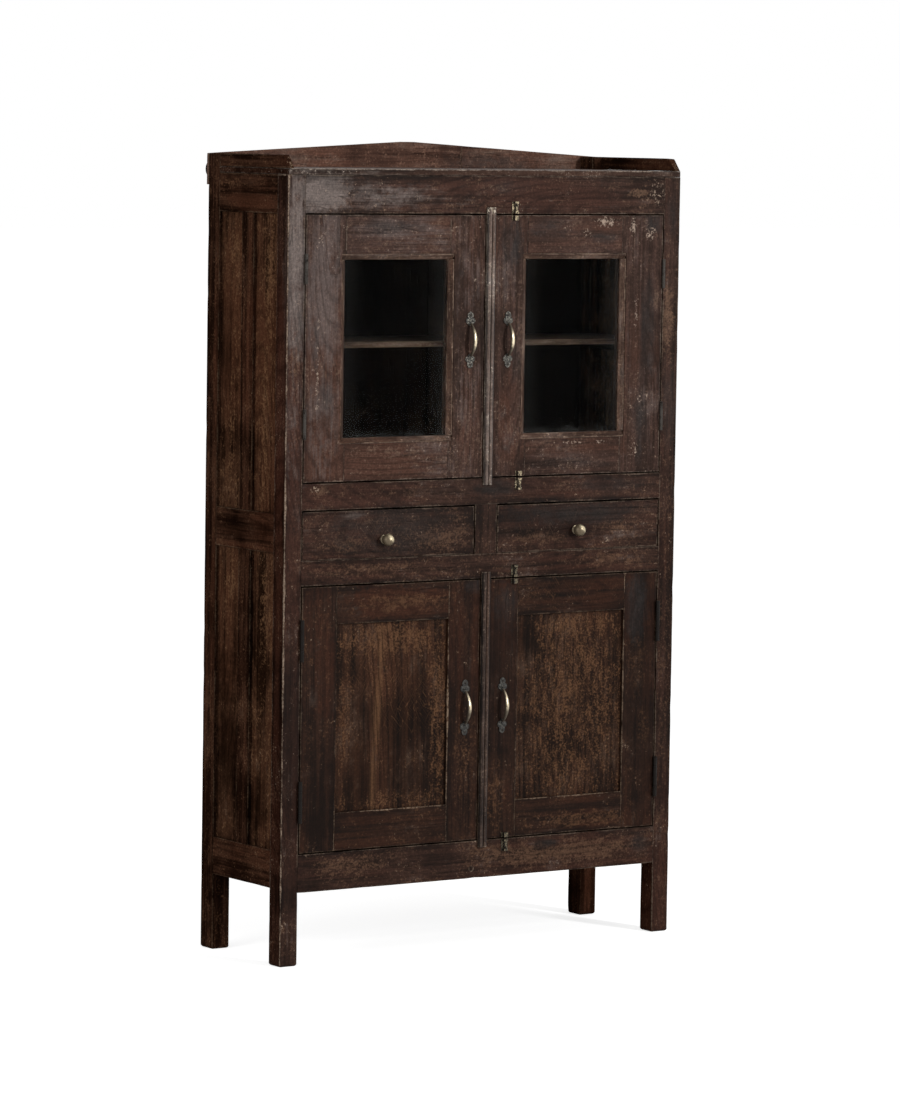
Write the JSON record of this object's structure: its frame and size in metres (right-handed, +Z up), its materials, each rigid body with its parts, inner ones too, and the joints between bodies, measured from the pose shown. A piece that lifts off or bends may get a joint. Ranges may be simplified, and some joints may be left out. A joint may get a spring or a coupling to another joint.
{
  "type": "kitchen cabinet",
  "caption": "Tall dark wood kitchen cupboard with glazed doors over drawers over panelled doors, bow handles, small bolts and a low gallery round the top.",
  "frame": {"origin": "on the floor under the centre of the box round the whole cupboard, knobs and rear staple included", "axes": "+X to the right seen from the front, +Y to the back, +Z up; the doors face -Y"},
  "size_m": [1, 0.3632, 1.7115],
  "materials": {
    "frame_wood": "dark worn teak, greyish brown with pale rubbed edges",
    "side_wood": "dark teak, warmer brown with ochre grain streaks",
    "gallery_wood": "reddish brown teak, dusty",
    "panel_wood": "lighter warm teak with cathedral grain",
    "inner_wood": "dry unpolished dark boards",
    "handle_brass": "cast brass, rubbed bright on the bow, dark patina on the leaves",
    "knob_brass": "antique brass, turned",
    "brass": "pale worn brass",
    "hinge_steel": "grey worn steel",
    "iron": "black iron with brown rust",
    "glass": "clear old window glass"
  },
  "bodies": {
    "carcass": {"front_posts": "frame_wood", "rear_posts": "side_wood", "top_front_rail": "frame_wood", "upper_drawer_rail": "frame_wood", "lower_drawer_rail": "frame_wood", "bottom_front_rail": "frame_wood", "drawer_divider": "frame_wood", "side_rails": "side_wood", "side_muntins": "side_wood", "side_panels": "side_wood", "back_rails": "inner_wood", "back_boards": "inner_wood", "top_board": "frame_wood", "side_galleries": "side_wood", "back_gallery": "gallery_wood", "rear_staple": "iron", "lower_deck": "inner_wood", "upper_deck": "inner_wood", "shelves": "inner_wood", "shelf_cleats": "inner_wood", "drawer_runners": "inner_wood", "hinge_frame_leaves": "hinge_steel", "hinge_pins": "hinge_steel", "bolt_guides": "brass"},
    "upper_left_door": {"upper_left_door_stiles": "frame_wood", "upper_left_door_rails": "frame_wood", "upper_left_glass": "glass", "upper_left_beads": "frame_wood", "upper_left_handle": "handle_brass", "upper_left_hinge_leaves": "hinge_steel"},
    "upper_right_door": {"upper_right_door_stiles": "frame_wood", "upper_right_door_rails": "frame_wood", "upper_right_glass": "glass", "upper_right_beads": "frame_wood", "upper_right_handle": "handle_brass", "upper_right_hinge_leaves": "hinge_steel", "upper_astragal": "frame_wood", "upper_bolt_keeps": "brass"},
    "lower_left_door": {"lower_left_door_stiles": "frame_wood", "lower_left_door_rails": "frame_wood", "lower_left_panel": "panel_wood", "lower_left_handle": "handle_brass", "lower_left_hinge_leaves": "iron"},
    "lower_right_door": {"lower_right_door_stiles": "frame_wood", "lower_right_door_rails": "frame_wood", "lower_right_panel": "panel_wood", "lower_right_handle": "handle_brass", "lower_right_hinge_leaves": "iron", "lower_astragal": "frame_wood", "lower_bolt_keeps": "brass"},
    "left_drawer": {"left_drawer_front": "frame_wood", "left_drawer_box": "inner_wood", "left_drawer_knob": "knob_brass"},
    "right_drawer": {"right_drawer_front": "frame_wood", "right_drawer_box": "inner_wood", "right_drawer_knob": "knob_brass"},
    "upper_top_bolt": {"upper_top_bolt_rod": "brass"},
    "upper_foot_bolt": {"upper_foot_bolt_rod": "brass"},
    "lower_top_bolt": {"lower_top_bolt_rod": "brass"},
    "lower_foot_bolt": {"lower_foot_bolt_rod": "brass"}
  },
  "joints": [
    {"name": "upper_left_door_hinge", "type": "hinge", "parent": "carcass", "child": "upper_left_door", "pos_m": [-0.45675, -0.1581, 1.286], "axis": [0, 0, -1], "range_deg": [0, 175]},
    {"name": "upper_right_door_hinge", "type": "hinge", "parent": "carcass", "child": "upper_right_door", "pos_m": [0.45675, -0.1581, 1.286], "axis": [0, 0, 1], "range_deg": [0, 175]},
    {"name": "lower_left_door_hinge", "type": "hinge", "parent": "carcass", "child": "lower_left_door", "pos_m": [-0.45675, -0.1589, 0.5135], "axis": [0, 0, -1], "range_deg": [0, 175]},
    {"name": "lower_right_door_hinge", "type": "hinge", "parent": "carcass", "child": "lower_right_door", "pos_m": [0.45675, -0.1589, 0.5135], "axis": [0, 0, 1], "range_deg": [0, 175]},
    {"name": "left_drawer_slide", "type": "slide", "parent": "carcass", "child": "left_drawer", "axis": [0, -1, 0], "range_m": [0, 0.2]},
    {"name": "right_drawer_slide", "type": "slide", "parent": "carcass", "child": "right_drawer", "axis": [0, -1, 0], "range_m": [0, 0.2]},
    {"name": "upper_top_bolt_slide", "type": "slide", "parent": "carcass", "child": "upper_top_bolt", "axis": [0, 0, -1], "range_m": [0, 0.0095]},
    {"name": "upper_foot_bolt_slide", "type": "slide", "parent": "carcass", "child": "upper_foot_bolt", "axis": [0, 0, 1], "range_m": [0, 0.0095]},
    {"name": "lower_top_bolt_slide", "type": "slide", "parent": "carcass", "child": "lower_top_bolt", "axis": [0, 0, -1], "range_m": [0, 0.0095]},
    {"name": "lower_foot_bolt_slide", "type": "slide", "parent": "carcass", "child": "lower_foot_bolt", "axis": [0, 0, 1], "range_m": [0, 0.0095]}
  ]
}
